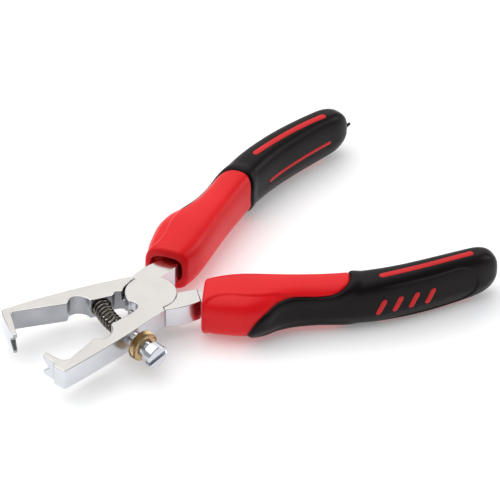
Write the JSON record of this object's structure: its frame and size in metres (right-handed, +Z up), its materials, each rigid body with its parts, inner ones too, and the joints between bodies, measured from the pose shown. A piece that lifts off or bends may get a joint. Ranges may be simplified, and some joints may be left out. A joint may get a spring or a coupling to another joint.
{
  "type": "wire stripper",
  "caption": "End wire stripper with two hooked V-notch jaws, a lap joint, an opening spring, a depth screw with knurled lock nut, and two-colour grips.",
  "frame": {"origin": "centre of the base of the bounding box, at the height of the surface that the grips lie on", "axes": "+X from the jaws to the handles along the tool's centre line, +Y towards the handle of lever A, +Z up, square to the flat of the tool"},
  "size_m": [0.1532, 0.0964, 0.019],
  "materials": {
    "steel": "satin ground and nickel plated",
    "spring_steel": "oiled dark wire",
    "zinc_steel": "bright zinc plating",
    "brass": "turned and knurled",
    "red_plastic": "semi-gloss moulded",
    "soft_black": "fine matt grain",
    "red_inlay": "satin moulded"
  },
  "bodies": {
    "lever_a": {"lever_a": "steel", "pivot_rivet": "steel", "opening_spring": "spring_steel", "grip_sleeve_a": "red_plastic", "grip_cover_a": "soft_black", "stripe_inlays_a": "red_inlay", "side_inlay_a": "red_inlay"},
    "lever_b": {"lever_b": "steel", "grip_sleeve_b": "red_plastic", "grip_cover_b": "soft_black", "stripe_inlays_b": "red_inlay", "side_inlay_b": "red_inlay"},
    "nut": {"lock_nut": "brass"},
    "screw": {"adjusting_screw": "zinc_steel"}
  },
  "joints": [
    {"name": "lever_pivot", "type": "hinge", "parent": "lever_a", "child": "lever_b", "pos_m": [-0.02885, 0, 0.00948], "axis": [0, 0, 1], "range_deg": [0, 21.5], "stiffness_Nm_per_rad": 0.4, "springref_deg": -8.59, "deforming": ["opening_spring"]},
    {"name": "screw_advance", "type": "slide", "parent": "lever_a", "child": "nut", "axis": [-0.1478, 0.989, 0], "range_m": [-0.002, 0.002]},
    {"name": "screw_turn", "type": "hinge", "parent": "nut", "child": "screw", "pos_m": [-0.04435, -0.00564, 0.00948], "axis": [-0.1478, 0.989, 0], "range_deg": [-901, 901]}
  ],
  "couplings": [
    {"joint": "screw_turn", "follows": "screw_advance", "rad_per_m": 7854}
  ]
}
